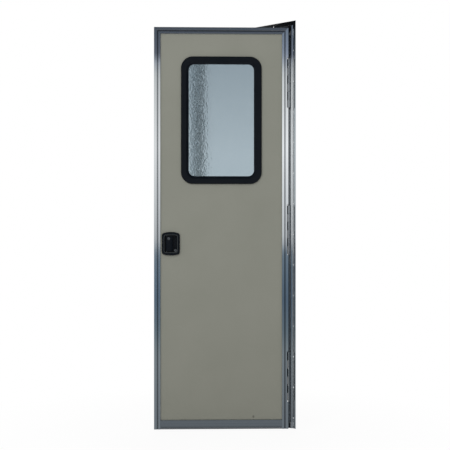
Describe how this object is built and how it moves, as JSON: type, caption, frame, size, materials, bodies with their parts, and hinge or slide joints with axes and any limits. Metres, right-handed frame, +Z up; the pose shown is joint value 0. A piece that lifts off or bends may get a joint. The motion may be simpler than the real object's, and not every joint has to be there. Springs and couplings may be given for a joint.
{
  "type": "caravan entry door",
  "caption": "Hinged caravan entry door: flat painted leaf in a grooved aluminium edge, black-ringed obscure window, recessed paddle lock, long knuckle hinges and a screw-flange frame.",
  "frame": {"origin": "On the wall's outer face, which is the back of the frame's flange, at the foot of the frame and midway between its jambs.", "axes": "+X runs along the wall to the hinge side, +Y runs into the caravan and +Z runs up. The leaf is stored 44 degrees open, as pictured."},
  "size_m": [0.674, 0.4896, 1.875],
  "materials": {
    "mill_aluminium": "extruded, mill finish, fine lines along its length",
    "skin_paint": "matte warm grey coating",
    "lining": "pale wipe-clean lining board",
    "core": "rigid insulating foam",
    "obscure_glass": "pebbled obscure glass, grey-blue",
    "black_plastic": "moulded black plastic, satin",
    "rubber": "black glazing rubber",
    "seal_rubber": "pale grey bulb seal",
    "plated_steel": "zinc plated",
    "lock_metal": "dark plated lock cylinder"
  },
  "bodies": {
    "frame": {"hinge_jamb": "mill_aluminium", "lock_jamb": "mill_aluminium", "frame_head": "mill_aluminium", "threshold": "mill_aluminium", "hinge_jamb_seal": "seal_rubber", "lock_jamb_seal": "seal_rubber", "head_seal": "seal_rubber", "threshold_seal": "seal_rubber", "strike_plate": "plated_steel", "top_hinge_frame_leaf": "mill_aluminium", "top_hinge_pin": "plated_steel", "middle_hinge_frame_leaf": "mill_aluminium", "middle_hinge_pin": "plated_steel", "bottom_hinge_frame_leaf": "mill_aluminium", "bottom_hinge_pin": "plated_steel"},
    "door": {"lock_stile": "mill_aluminium", "hinge_stile": "mill_aluminium", "top_rail": "mill_aluminium", "bottom_rail": "mill_aluminium", "outer_skin": "skin_paint", "panel_core": "core", "inner_skin": "lining", "window_ring": "black_plastic", "glazing_gasket": "rubber", "window_glass": "obscure_glass", "inner_window_ring": "black_plastic", "lock_housing": "black_plastic", "paddle_pin": "plated_steel", "dead_bolt_cylinder": "lock_metal", "lock_case": "plated_steel", "lock_faceplate": "plated_steel", "spring_bolt": "plated_steel", "dead_bolt": "plated_steel", "inside_plate": "black_plastic", "inside_paddle": "black_plastic", "thumb_turn": "black_plastic", "top_hinge_door_leaf": "mill_aluminium", "middle_hinge_door_leaf": "mill_aluminium", "bottom_hinge_door_leaf": "mill_aluminium"},
    "handle": {"paddle": "black_plastic", "paddle_cylinder": "lock_metal"}
  },
  "joints": [
    {"name": "door_swing", "type": "hinge", "parent": "frame", "child": "door", "pos_m": [0.313, -0.0181, 0.913], "axis": [0, 0, 1], "range_deg": [-44, 126]},
    {"name": "paddle_pull", "type": "hinge", "parent": "door", "child": "handle", "pos_m": [-0.09085, -0.41087, 0.85], "axis": [0, 0, -1], "range_deg": [0, 30], "stiffness_Nm_per_rad": 0.6, "springref_deg": -17.19}
  ]
}
